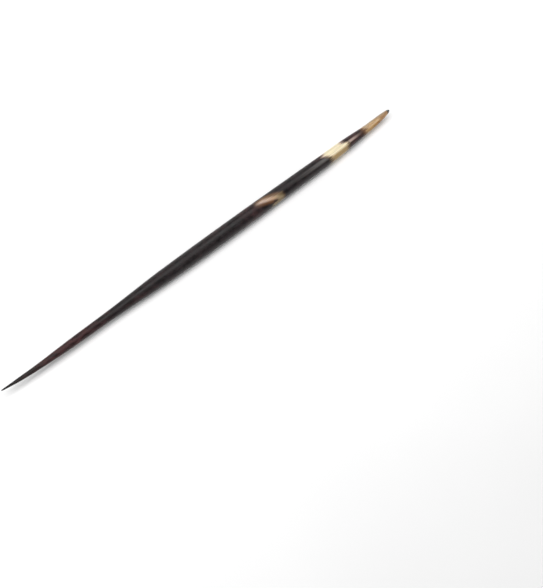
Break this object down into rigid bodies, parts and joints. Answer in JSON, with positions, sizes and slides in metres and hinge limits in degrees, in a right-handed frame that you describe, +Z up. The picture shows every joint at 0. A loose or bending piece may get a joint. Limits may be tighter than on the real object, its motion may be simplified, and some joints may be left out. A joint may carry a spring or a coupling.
{
  "type": "porcupine quill",
  "caption": "Long, slender porcupine quill of dark keratin with pale bands, lying on its belly, with a needle tip and a short tan root.",
  "frame": {"origin": "on the surface that the quill lies on, midway between its tip and its root's end", "axes": "+X along the quill from the needle tip to the root, +Z up away from the surface, +Y to the side"},
  "size_m": [0.23, 0.0074, 0.0072],
  "materials": {
    "keratin": "smooth, half-gloss keratin with very fine lengthwise ridges; nearly black to plum-brown, with a slanted pink-tan streak past the middle, a cream band before the root and a golden-tan root"
  },
  "bodies": {
    "root": {"quill": "keratin"}
  },
  "joints": []
}
